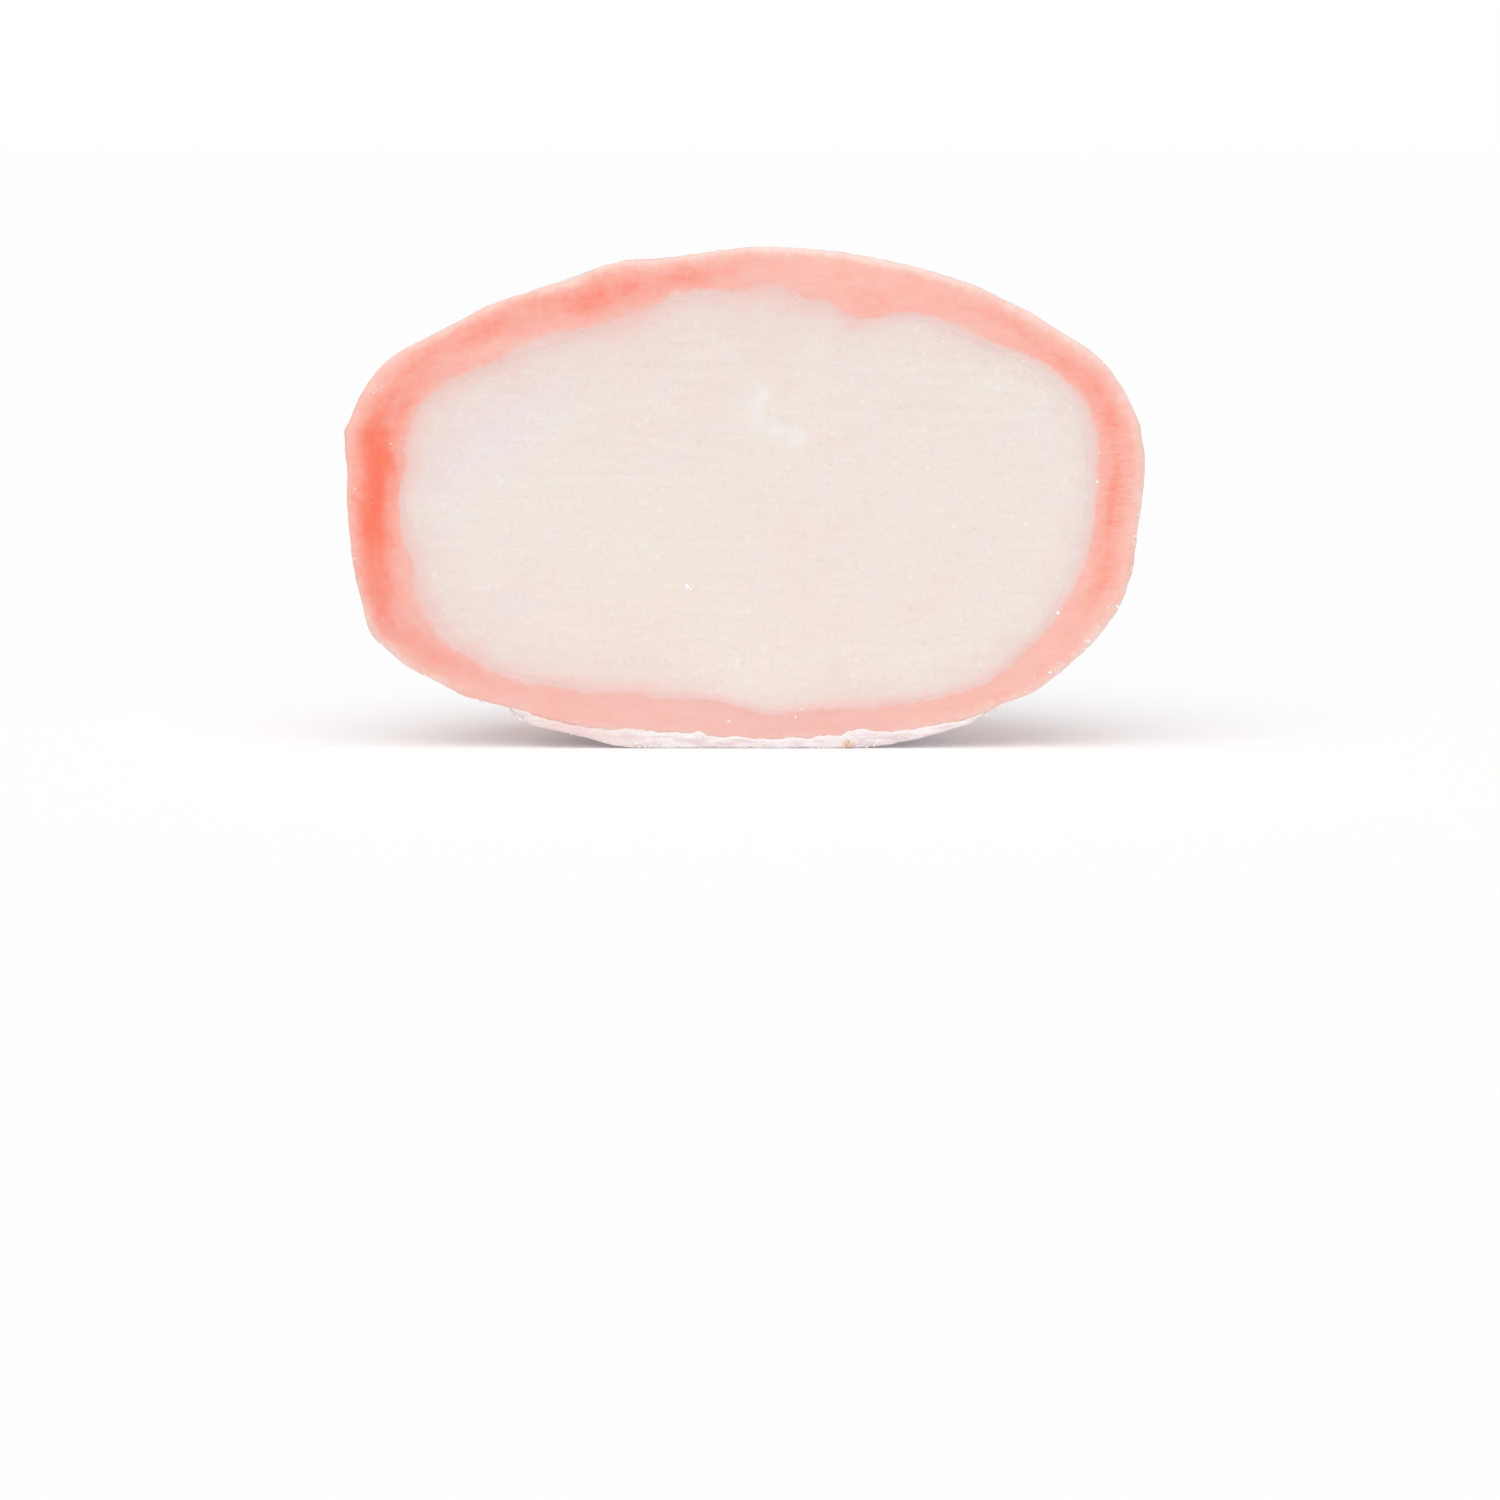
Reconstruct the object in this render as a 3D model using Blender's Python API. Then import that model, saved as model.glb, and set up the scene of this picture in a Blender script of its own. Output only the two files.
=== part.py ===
"""Half of a lychee mochi: soft rice dough round a lychee ice cream filling, cut upright through the middle.

Metres, +Z up. The cut face looks along -Y, and the half stands on the flattened underside that the
whole sweet had, so Z = 0 is where it rests. There are three pieces: the dough, the filling and the
starch caked under the dough. Each is a layer between two reaches, where a reach is the distance from
the middle of the whole sweet to a surface, along a direction.
"""

import math

import bmesh
import bpy
from mathutils import Matrix, Vector

MM = 0.001

# The whole sweet before the cut: a squared-off ball that is round seen from above
HALF_WIDTH = 22.45 * MM
MIDDLE_HEIGHT = 14.0 * MM
CROWN_RISE = 14.35 * MM
BELLY_DROP = 14.75 * MM
SQUARENESS = 2.35

# How gradually the soft underside lifts off the board that it rests on
SETTLING = 0.45 * MM

# The filling inside it
FILLING_HALF_WIDTH = 19.3 * MM
FILLING_RISE = 11.6 * MM
FILLING_DROP = 11.4 * MM
FILLING_SQUARENESS = 2.4

# Starch caked on the underside, and the heights between which it thins out up the sides
STARCH_DEPTH = 0.52 * MM
STARCH_EDGE_HEIGHT = 1.45 * MM
STARCH_FULL_HEIGHT = 1.9 * MM
STARCH_GONE_HEIGHT = 3.2 * MM

# Clearance kept between neighbouring pieces
GAP = 0.25 * MM

# Bumps and hollows, each: degrees round the cut face from +X towards +Z, degrees behind the cut,
# spread in degrees, rise in millimetres
OUTSIDE_BUMPS = (
    (15, 0, 8, 0.45),  # right shoulder
    (40, 0, 15, -0.45),  # slope down to the right
    (110, 0, 14, -0.28),  # slope off the crown
    (139, 0, 17, -0.98),  # slope down to the left
    (166, 0, 11, 0.62),  # left shoulder corner
    (202, 0, 7, 0.95),  # left lower corner
    (229, 0, 20, -0.55),
    (308, 0, 27, -0.42),
    (270, 42, 27, 1.70),  # underside, sagging on to the board behind the cut
    (8, 52, 19, 0.75),  # lobe of dough folded over at the right
    (20, 33, 10, -0.45),  # crease in front of that lobe
    (105, 38, 17, -0.50),  # thumb hollow behind the crown
    (150, 48, 20, 0.45),
    (185, 40, 13, -0.35),
    (55, 66, 16, 0.40),
    (120, 74, 14, -0.35),
    (215, 62, 18, 0.40),
)
FILLING_BUMPS = (
    (15, 0, 9, 0.45),
    (38, 0, 10, -0.50),
    (60, 0, 9, -1.00),  # dough hangs into the filling here
    (85, 0, 9, 0.90),  # filling rises close under the crown
    (112, 0, 10, -0.25),
    (141, 0, 18, -1.60),
    (167, 0, 8, 0.65),
    (209, 0, 12, 0.75),
    (250, 0, 12, -0.40),
    (298, 0, 30, 0.80),
    (324, 0, 12, 0.70),
    (349, 0, 8, -0.30),
    (30, 45, 20, -0.50),
    (150, 45, 20, 0.35),
)
STARCH_BUMPS = (
    (250, 0, 10, 0.38),  # thickest cake, left of the middle
    (275, 0, 7, -0.08),
    (300, 0, 10, 0.12),
    (265, 35, 16, 0.25),
)

# Fine enough to read as round, with few faces
SEGMENTS = 80
RINGS = 20
CUT_TOLERANCE = 1e-6


def heading(around, behind):
    """Unit vector at these degrees round the cut face and behind it."""
    turn, back = math.radians(around), math.radians(behind)
    return Vector((math.cos(turn) * math.cos(back), math.sin(back), math.sin(turn) * math.cos(back)))


def swell(direction, bumps):
    """How far the bumps and hollows push a surface out along a direction."""
    rise_here = 0.0
    for around, behind, spread, rise in bumps:
        apart = direction.angle(heading(around, behind)) / math.radians(spread)
        rise_here += rise * MM * math.exp(-apart * apart)
    return rise_here


def oval(direction, half_width, rise, drop, squareness):
    """Reach of a squared-off ball that is round seen from above."""
    across = math.hypot(direction.x, direction.y) / half_width
    upright = abs(direction.z) / (rise if direction.z > 0 else drop)
    return (across**squareness + upright**squareness) ** (-1 / squareness)


def smooth_step(value, low, high):
    """0 at low, 1 at high, with a soft turn at both ends."""
    share = min(1.0, max(0.0, (value - low) / (high - low)))
    return share * share * (3 - 2 * share)


def settled(height):
    """Height of the underside once it has sagged on to the board: never below 0."""
    if height > SETTLING:
        return height
    return max(0.0, height + SETTLING) ** 2 / (4 * SETTLING)


def outside(direction):
    """Reach of the whole sweet's outside, starch included, flattened where it rests."""
    reach = oval(direction, HALF_WIDTH, CROWN_RISE, BELLY_DROP, SQUARENESS)
    reach += swell(direction, OUTSIDE_BUMPS)
    height = MIDDLE_HEIGHT + direction.z * reach
    if height < SETTLING:
        reach = (settled(height) - MIDDLE_HEIGHT) / direction.z
    return reach


def starch_depth(direction):
    """Thickness of the starch cake along a direction: full underneath, none up the sides."""
    height = MIDDLE_HEIGHT + direction.z * outside(direction)
    share = 1 - smooth_step(height, STARCH_FULL_HEIGHT, STARCH_GONE_HEIGHT)
    return share * (STARCH_DEPTH + swell(direction, STARCH_BUMPS))


def dough_outside(direction):
    return outside(direction) - starch_depth(direction)


def filling_outside(direction):
    reach = oval(direction, FILLING_HALF_WIDTH, FILLING_RISE, FILLING_DROP, FILLING_SQUARENESS)
    return reach + swell(direction, FILLING_BUMPS)


def half_ball_sheet(reach):
    """Open sheet behind the cut plane, at this reach in every direction, with its pole at the back."""
    sheet = bmesh.new()
    bmesh.ops.create_uvsphere(sheet, u_segments=SEGMENTS, v_segments=2 * RINGS, radius=1.0)
    bmesh.ops.rotate(sheet, verts=sheet.verts, matrix=Matrix.Rotation(math.radians(-90), 3, "X"))
    in_front = [vert for vert in sheet.verts if vert.co.y < -CUT_TOLERANCE]
    bmesh.ops.delete(sheet, geom=in_front, context="VERTS")
    for vert in sheet.verts:
        if abs(vert.co.y) < CUT_TOLERANCE:
            vert.co.y = 0.0
        direction = vert.co.normalized()
        vert.co = direction * reach(direction)
    return sheet


def thicken_inwards(sheet, inner_reach):
    """Turns an open sheet into a closed wall whose inner side is at inner_reach."""
    made = bmesh.ops.extrude_face_region(sheet, geom=sheet.faces[:], use_keep_orig=True)
    inner = [item for item in made["geom"] if isinstance(item, bmesh.types.BMVert)]
    for vert in inner:
        direction = vert.co.normalized()
        vert.co = direction * inner_reach(direction)


def add_piece(name, sheet, material, collection):
    """Makes the object from its finished bmesh, standing with its underside at Z = 0."""
    bmesh.ops.recalc_face_normals(sheet, faces=sheet.faces)
    mesh = bpy.data.meshes.new(name)
    sheet.to_mesh(mesh)
    sheet.free()
    mesh.shade_smooth()
    mesh.set_sharp_from_angle(angle=math.radians(40))
    mesh.materials.append(material)
    piece = bpy.data.objects.new(name, mesh)
    collection.objects.link(piece)
    return piece


def finish(name, colour, roughness, subsurface):
    """Principled material with the piece's colour."""
    material = bpy.data.materials.new(name)
    material.use_nodes = True
    shader = material.node_tree.nodes["Principled BSDF"]
    shader.inputs["Base Color"].default_value = (*colour, 1.0)
    shader.inputs["Roughness"].default_value = roughness
    shader.inputs["Metallic"].default_value = 0.0
    shader.inputs["Subsurface Weight"].default_value = subsurface
    shader.inputs["Subsurface Scale"].default_value = 1.5 * MM
    return material


def make_dough(collection):
    """Bowl of rice dough: its rim is the coral band round the cut face."""
    wall = half_ball_sheet(dough_outside)
    thicken_inwards(wall, lambda direction: filling_outside(direction) + GAP)
    return add_piece("mochi_dough", wall, finish("Coral dough", (0.90, 0.42, 0.32), 0.45, 0.4), collection)


def make_filling(collection):
    """Solid half of the filling, closed by its flat cut face."""
    half = half_ball_sheet(filling_outside)
    rim = [edge for edge in half.edges if edge.is_boundary]
    bmesh.ops.contextual_create(half, geom=rim)
    look = finish("Lychee ice cream", (0.86, 0.80, 0.74), 0.6, 0.3)
    return add_piece("lychee_filling", half, look, collection)


def make_starch(collection):
    """Thin cake of starch under the dough, flat where the half rests."""
    cake = half_ball_sheet(outside)
    everything = cake.verts[:] + cake.edges[:] + cake.faces[:]
    edge_line = Vector((0, 0, STARCH_EDGE_HEIGHT - MIDDLE_HEIGHT))
    bmesh.ops.bisect_plane(
        cake, geom=everything, dist=CUT_TOLERANCE, plane_co=edge_line, plane_no=(0, 0, 1), clear_outer=True
    )
    thicken_inwards(cake, lambda direction: dough_outside(direction) + GAP)
    return add_piece("starch_base", cake, finish("Starch", (0.86, 0.80, 0.80), 0.9, 0.0), collection)


def stand_on_origin(pieces):
    """Moves the pieces so that the half stands on Z = 0, with its box centred on the origin."""
    points = [vert.co for piece in pieces for vert in piece.data.vertices]
    middle_x = (min(p.x for p in points) + max(p.x for p in points)) / 2
    middle_y = (min(p.y for p in points) + max(p.y for p in points)) / 2
    for piece in pieces:
        piece.location = (-middle_x, -middle_y, MIDDLE_HEIGHT)


def main():
    for old in list(bpy.data.objects):
        bpy.data.objects.remove(old)
    collection = bpy.data.collections.new("Lychee mochi half")
    bpy.context.scene.collection.children.link(collection)
    stand_on_origin([make_dough(collection), make_filling(collection), make_starch(collection)])


main()
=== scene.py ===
"""Half of a lychee mochi: cut coral rice dough round a frozen lychee filling, dusted with starch.

Metres, +Z up, in the frame's own place: the cut face looks along -Y and the half rests on Z = 0. Each
surface is a reach, the distance from the middle of the whole sweet along a direction, and the reaches
have the same dimensions as the solids. Along the cut face, depth is measured inwards from the dough's
outside and border is measured outwards from the edge of the filling.
"""

import math

import bmesh
import bpy
import numpy as np
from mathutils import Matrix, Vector, noise


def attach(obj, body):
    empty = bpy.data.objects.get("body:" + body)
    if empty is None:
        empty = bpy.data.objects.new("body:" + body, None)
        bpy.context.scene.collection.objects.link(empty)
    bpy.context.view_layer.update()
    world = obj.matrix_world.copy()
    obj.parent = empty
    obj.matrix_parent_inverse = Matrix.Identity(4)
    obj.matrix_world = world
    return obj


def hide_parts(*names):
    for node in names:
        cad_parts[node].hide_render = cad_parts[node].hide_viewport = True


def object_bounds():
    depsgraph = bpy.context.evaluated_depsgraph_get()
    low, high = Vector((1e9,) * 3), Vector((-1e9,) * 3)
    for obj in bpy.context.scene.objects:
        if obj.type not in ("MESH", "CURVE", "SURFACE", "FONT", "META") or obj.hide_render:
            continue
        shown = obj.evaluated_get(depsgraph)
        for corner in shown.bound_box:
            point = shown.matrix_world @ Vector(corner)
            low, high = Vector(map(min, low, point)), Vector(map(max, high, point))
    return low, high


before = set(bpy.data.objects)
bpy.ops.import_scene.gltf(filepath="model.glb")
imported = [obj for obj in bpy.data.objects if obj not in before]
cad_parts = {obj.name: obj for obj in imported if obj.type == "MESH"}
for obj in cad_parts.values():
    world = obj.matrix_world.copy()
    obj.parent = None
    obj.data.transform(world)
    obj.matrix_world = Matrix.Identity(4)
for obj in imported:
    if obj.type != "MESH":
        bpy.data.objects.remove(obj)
cad_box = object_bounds()

MM = 0.001

# The whole sweet before the cut: a squared-off ball that is round seen from above
HALF_WIDTH = 22.45 * MM
MIDDLE_HEIGHT = 14.0 * MM
CROWN_RISE = 14.35 * MM
BELLY_DROP = 14.75 * MM
SQUARENESS = 2.35

# How gradually the soft underside lifts off the board that it rests on
SETTLING = 0.45 * MM

# The filling inside it
FILLING_HALF_WIDTH = 19.3 * MM
FILLING_RISE = 11.6 * MM
FILLING_DROP = 11.4 * MM
FILLING_SQUARENESS = 2.4

# Starch caked on the underside: how thick it is, how far up the sides the cake reaches, and the heights
# between which its thickness runs out
STARCH_DEPTH = 0.52 * MM
STARCH_EDGE_HEIGHT = 2.0 * MM
STARCH_FULL_HEIGHT = 1.9 * MM
STARCH_GONE_HEIGHT = 3.2 * MM

# Bumps and hollows, each: degrees round the cut face from +X towards +Z, degrees behind the cut,
# spread in degrees, rise in millimetres
OUTSIDE_BUMPS = (
    (15, 0, 8, 0.45),  # right shoulder
    (40, 0, 15, -0.45),  # slope down to the right
    (110, 0, 14, -0.28),  # slope off the crown
    (139, 0, 17, -0.98),  # slope down to the left
    (166, 0, 11, 0.62),  # left shoulder corner
    (202, 0, 7, 0.95),  # left lower corner
    (229, 0, 20, -0.55),
    (308, 0, 27, -0.42),
    (270, 42, 27, 1.70),  # underside, sagging on to the board behind the cut
    (8, 52, 19, 0.75),  # lobe of dough folded over at the right
    (20, 33, 10, -0.45),  # crease in front of that lobe
    (105, 38, 17, -0.50),  # thumb hollow behind the crown
    (150, 48, 20, 0.45),
    (185, 40, 13, -0.35),
    (55, 66, 16, 0.40),
    (120, 74, 14, -0.35),
    (215, 62, 18, 0.40),
)
# Small waves in the outline that the solids are too coarse for, and slopes carried on behind the cut
OUTSIDE_DETAILS = (
    (42, 24, 14, -0.32),
    (60, 22, 10, -0.15),
    (98, 24, 16, -0.30),
    (114, 20, 9, -0.22),
    (138, 26, 15, -0.78),
    (29, 7, 4, -0.12),
    (62, 11, 9, -0.14),
    (105, 12, 8, -0.14),
    (127, 13, 7, -0.28),
    (150, 7, 4, -0.08),
    (-27, 0, 7, -0.20),
    (-37, 0, 3, -0.16),
    (-5, 0, 5, -0.18),
    (6, 0, 5, 0.16),
    (15, 0, 3, -0.08),
    (23, 0, 4, 0.11),
    (29, 0, 2.5, -0.12),
    (43, 0, 5, 0.10),
    (60, 0, 6, -0.10),
    (87, 0, 5, 0.08),
    (107, 0, 9, -0.10),
    (117, 0, 3, 0.06),
    (128, 0, 4, -0.24),
    (141, 0, 4, 0.14),
    (151, 0, 3, -0.10),
    (158, 0, 3.5, 0.20),
    (170, 0, 1.2, 0.15),  # nub pulled out by the knife
    (176, 0, 3, -0.16),
    (191, 0, 5, 0.08),
    (203, 0, 2.5, -0.34),
    (209, 0, 5, -0.18),
    (221, 0, 3, -0.08),
    (236, 0, 6, -0.18),
)
FILLING_BUMPS = (
    (15, 0, 9, 0.45),
    (38, 0, 10, -0.50),
    (60, 0, 9, -1.00),  # dough hangs into the filling here
    (85, 0, 9, 0.90),  # filling rises close under the crown
    (112, 0, 10, -0.25),
    (141, 0, 18, -1.60),
    (167, 0, 8, 0.65),
    (209, 0, 12, 0.75),
    (250, 0, 12, -0.40),
    (298, 0, 30, 0.80),
    (324, 0, 12, 0.70),
    (349, 0, 8, -0.30),
    (30, 45, 20, -0.50),
    (150, 45, 20, 0.35),
)
STARCH_BUMPS = (
    (250, 0, 10, 0.38),  # thickest cake, left of the middle
    (275, 0, 7, -0.08),
    (300, 0, 10, 0.12),
    (317, 0, 8, -0.28),  # thin towards its right end
    (265, 35, 16, 0.25),
)

# How strong the coral of the cut dough is: a base value, then patches, each: degrees round the cut,
# depth in millimetres, spread in degrees, spread in millimetres, how much stronger
CORAL_STRENGTH = 0.05
CORAL_PATCHES = (
    (172, 1.85, 9, 1.2, 0.84),  # the deepest coral, at the left
    (184, 1.35, 8, 1.0, 0.64),
    (162, 1.9, 6, 1.2, 0.18),
    (195, 0.9, 7, 0.8, 0.52),
    (191, 2.1, 8, 0.8, 0.14),
    (205, 1.8, 9, 1.1, 0.42),
    (218, 1.2, 10, 1.0, 0.08),
    (152, 1.4, 7, 1.3, 0.28),
    (141, 1.3, 7, 1.2, 0.29),
    (129, 1.6, 7, 1.1, 0.56),  # along the slope down to the left
    (118, 1.5, 8, 1.0, 0.42),
    (103, 1.45, 9, 0.8, 0.42),
    (88, 0.9, 9, 0.6, 0.12),
    (80, 2.0, 8, 0.6, -0.22),
    (58, 2.2, 9, 1.3, 0.12),
    (36, 1.3, 10, 0.9, 0.15),
    (20, 1.4, 10, 0.7, 0.32),
    (3, 1.6, 12, 0.7, 0.46),  # down the right side
    (-14, 1.6, 8, 0.7, 0.30),
)

# What the colours of the cut follow round it, each: degrees, how much further in the dough shows than
# its solid reaches in millimetres, how softly it turns into the filling, how much painted light through
# the thin edge pales its rim, and how much its coral turns duller and darker, partly painted shade
ROUND_THE_CUT = (
    (0, -0.33, 0.9, 0.62, 0.0),
    (10, -0.48, 1.0, 0.65, 0.0),
    (20, -0.57, 1.0, 0.78, 0.0),
    (25, -0.6, 1.1, 0.78, 0.0),
    (30, -0.2, 1.3, 0.78, 0.0),
    (37, -0.2, 1.5, 0.76, 0.0),
    (44, -0.38, 1.7, 0.75, 0.0),
    (50, 0.05, 1.7, 0.78, 0.0),
    (54, 0.25, 1.5, 0.88, 0.0),
    (57, 0.45, 1.5, 0.88, 0.0),
    (61, 0.2, 1.5, 0.88, 0.0),
    (66, -0.08, 1.6, 0.85, 0.0),
    (74, 0.62, 2.1, 0.85, 0.0),
    (78, 0.74, 2.5, 0.86, 0.0),
    (82, 0.66, 2.8, 0.88, 0.0),
    (90, 0.8, 2.2, 0.62, 0.0),
    (98, 0.1, 1.8, 0.6, 0.0),
    (108, -0.3, 1.6, 0.6, 0.0),
    (115, 0.15, 2.2, 0.6, 0.0),
    (121, 0.55, 2.7, 0.65, 0.0),
    (127, 0.7, 2.6, 0.6, 0.0),
    (138, -0.16, 2.4, 0.5, 0.0),
    (144, -0.4, 2.4, 0.55, 0.0),
    (151, 0.38, 2.5, 0.5, 0.0),
    (157, -0.08, 2.4, 0.38, 0.0),
    (163, 0.28, 2.3, 0.3, 0.0),
    (173, 0.7, 1.7, 0.1, 0.0),
    (180, 0.0, 1.0, 0.15, 0.0),
    (190, 0.42, 1.6, 0.2, 0.2),
    (200, -0.08, 2.1, 0.8, 0.5),
    (208, 0.22, 1.9, 1.0, 0.5),
    (217, -0.1, 1.9, 0.2, 0.6),
    (222, 0.05, 1.9, 0.15, 0.65),
    (228, 0.1, 1.9, 0.15, 0.7),
    (238, 0.4, 1.9, 0.45, 0.8),
    (250, 0.05, 1.3, 0.2, 0.9),
    (262, 0.38, 0.9, 0.35, 1.0),
    (275, -0.04, 0.8, 0.2, 1.0),
    (290, 0.4, 1.0, 0.45, 0.9),
    (300, 0.43, 1.6, 0.7, 0.8),
    (312, 0.04, 1.1, 0.45, 0.6),
    (325, 0.02, 1.1, 0.6, 0.4),
    (331, 0.2, 1.1, 0.85, 0.3),
    (338, -0.08, 1.1, 1.0, 0.1),
    (350, -0.47, 1.0, 0.3, 0.0),
)

# Patches of the cut, each: millimetres right of and above the middle, spread in millimetres, share
COOL_PATCHES = (
    (-14.5, 3.6, 2.4, 0.8),  # pale lilac frost at the upper left
    (-11.5, 5.0, 2.2, 0.5),
    (-17.6, 1.6, 1.8, 0.7),
    (-17.8, -2.5, 1.6, 0.5),
    (16.5, 3.5, 1.6, 0.4),
    (-13.0, -5.5, 2.0, 0.25),
)
SCORED_PATCHES = (
    (21.4, 2.4, 1.9, 1.0),  # fine knife lines down the right side
    (21.2, -1.0, 2.0, 0.9),
    (20.4, -4.4, 1.6, 0.5),
    (-18.2, 7.6, 1.6, 0.4),
)

# Fineness of the modelled surfaces, and how far round a half ball's rings go before a last face closes it
DOUGH_CUTS = 159
RIM_STEPS = 16
WALL_RINGS = 8
FILLING_CELLS = 190
FILLING_RINGS = 10
STARCH_CELLS = (280, 90)
STARCH_STEPS = 14
LAST_RING = math.radians(88)

# How close a point of a pattern lies to the cut or the dome when it counts as on it
CLOSE = 1e-4

# Where dough and filling meet they overlap by this much, each dipping back as it goes under the other.
# The cut's outer edge is rounded.
BORDER_OVERLAP = 0.5 * MM
BORDER_DIP = 0.14 * MM
RIM_ROUNDING = 0.24 * MM

# A pale smear on the filling: where it runs, in millimetres right of and above the middle
SMEAR_PATH = ((0.9, 6.1), (0.5, 5.2), (0.7, 4.4), (1.5, 4.05), (2.4, 3.75), (2.9, 3.7))
SMEAR_HALF_WIDTH = 0.5

# Specks on the cut, each: millimetres right of and above the middle, half size in millimetres
CUT_SPECKS = (
    (-3.3, -4.8, 0.16),
    (-3.1, -4.95, 0.10),
    (19.9, 1.15, 0.10),
    (20.0, 2.75, 0.07),
    (19.8, 4.5, 0.05),
    (19.9, 5.2, 0.05),
    (18.0, 4.5, 0.06),
    (15.7, 7.9, 0.07),
    (17.7, -6.3, 0.09),
    (-0.95, -12.45, 0.11),
    (2.85, -12.2, 0.07),
    (3.2, -11.8, 0.05),
    (-4.8, 4.6, 0.06),
    (8.9, 2.1, 0.06),
    (-20.05, 3.3, 0.06),
    (-19.9, 2.95, 0.04),
    (-22.05, 0.75, 0.05),
    (-20.5, 6.5, 0.05),
)

# Crumbs along the cut's outer edge, each: degrees round the cut, spread in degrees, how many, half
# size, greatest depth and how far in front of the cut, in millimetres
EDGE_CRUMBS = (
    (338, 4.0, 36, 0.06, 0.8, 0.0),
    (325, 5.0, 16, 0.05, 0.4, 0.0),
    (352, 6.0, 20, 0.045, 0.3, 0.0),
    (190, 9.0, 12, 0.04, 0.25, 0.0),
    (158, 6.0, 5, 0.04, 0.7, 0.0),
    (216, 5.0, 12, 0.05, 0.3, 0.0),
    (30, 30.0, 16, 0.04, 0.2, 0.0),
    (105, 28.0, 12, 0.04, 0.2, 0.0),
    (229, 5.0, 14, 0.05, 0.2, 0.1),
    (252, 9.0, 44, 0.04, 0.75, 0.2),
    (276, 9.0, 36, 0.035, 0.5, 0.2),
    (296, 8.0, 36, 0.04, 0.65, 0.2),
)

# The starch cake: the half ellipse it covers, where it is pinkest, in millimetres right of
# the middle, how far that spreads and how pink it is, and swellings of its upper lip along the cut, each:
# millimetres right of the middle, spread and rise in millimetres
FOOT_HALF_WIDTH = 17 * MM
FOOT_DEPTH = 18 * MM
PINK_PLACE = -10.5
PINK_SPREAD = 3.2
PINK_SHARE = 0.9
LIP_BUMPS = (
    (-2.8, 0.35, 0.26),  # a curled flake
    (-7.2, 1.2, 0.32),
    (-0.6, 0.5, 0.08),
    (5.0, 0.7, 0.06),
    (6.9, 1.3, 0.38),
)

# A dried crumb on the starch, as grains, each: millimetres right of the middle and above the floor, half
# size in millimetres
DRIED_CRUMB = (
    (5.62, 0.26, 0.11),
    (5.78, 0.34, 0.13),
    (5.86, 0.20, 0.12),
    (6.02, 0.30, 0.10),
)
DRIED_CRUMB_AHEAD = 0.22 * MM

# Clumps of starch on the round back: how many places are tried, and their least, usual and greatest half
# size in millimetres. Glints on the filling: how many, and their least and greatest half size.
CLUMP_TRIES = 16000
CLUMP_SIZES = (0.035, 0.075, 0.3)
GLINT_COUNT = 130
GLINT_SIZES = (0.02, 0.05)

# The photograph: its size, and where the middle of the whole sweet would be in it, in pixels
PHOTO_SIZE = 1500
PIXELS_PER_MM = 17.67
MIDDLE_IN_PHOTO = (745.4, 502)

# The camera: how many degrees it looks down, and its lens and sensor width in millimetres
SIGHT_ELEVATION = 3.5
LENS = 150.0
SENSOR = 36.0

# The light, and the floor and the wall round it, in metres
SURROUND_STRENGTH = 0.53
SUN_STRENGTH = 1.5
SUN_PLACE = (-0.1, -0.5, 1.0)
SUN_SPREAD = math.radians(70)
FLOOR_GLOW = 0.10
FLOOR_RADIUS = 12.0
WALL_HEIGHT = 1.0


def heading(around, behind):
    """Unit direction at these degrees round the cut face and behind it."""
    turn, back = np.radians(around), np.radians(behind)
    return np.stack((np.cos(turn) * np.cos(back), np.sin(back), np.sin(turn) * np.cos(back)), axis=-1)


def lumps(ways, bumps):
    """Sum of the bumps at each direction, in the bumps' own unit."""
    total = np.zeros(len(ways))
    for around, behind, spread, rise in bumps:
        apart = np.degrees(np.arccos(np.clip(ways @ heading(around, behind), -1, 1)))
        total += rise * np.exp(-((apart / spread) ** 2))
    return total


def oval(ways, half_width, rise, drop, squareness):
    """Reach of a squared-off ball that is round seen from above."""
    across = np.hypot(ways[:, 0], ways[:, 1]) / half_width
    upright = np.abs(ways[:, 2]) / np.where(ways[:, 2] > 0, rise, drop)
    return (across**squareness + upright**squareness) ** (-1 / squareness)


def smooth_step(value, low, high):
    """0 at low, 1 at high, with a soft turn at both ends."""
    share = np.clip((value - low) / (high - low), 0, 1)
    return share * share * (3 - 2 * share)


def outside(ways):
    """Reach of the whole sweet's outside, starch included, flattened where it rests."""
    reach = oval(ways, HALF_WIDTH, CROWN_RISE, BELLY_DROP, SQUARENESS)
    reach += MM * lumps(ways, OUTSIDE_BUMPS + OUTSIDE_DETAILS)
    height = MIDDLE_HEIGHT + ways[:, 2] * reach
    settled = np.maximum(0, height + SETTLING) ** 2 / (4 * SETTLING)
    low = height < SETTLING
    return np.where(low, (settled - MIDDLE_HEIGHT) / np.where(low, ways[:, 2], -1), reach)


def starch_depth(ways):
    """Thickness of the starch cake: full underneath, none up the sides."""
    height = MIDDLE_HEIGHT + ways[:, 2] * outside(ways)
    share = 1 - smooth_step(height, STARCH_FULL_HEIGHT, STARCH_GONE_HEIGHT)
    return share * (STARCH_DEPTH + MM * lumps(ways, STARCH_BUMPS))


def dough_outside(ways):
    return outside(ways) - starch_depth(ways)


def filling_outside(ways):
    reach = oval(ways, FILLING_HALF_WIDTH, FILLING_RISE, FILLING_DROP, FILLING_SQUARENESS)
    return reach + MM * lumps(ways, FILLING_BUMPS)


def patches(right, up, spots):
    """Sum of soft round patches at places on the cut, given in millimetres from its middle."""
    total = np.zeros(len(right))
    for x, z, spread, share in spots:
        total += share * np.exp(-((right - x) ** 2 + (up - z) ** 2) / spread**2)
    return total


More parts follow.
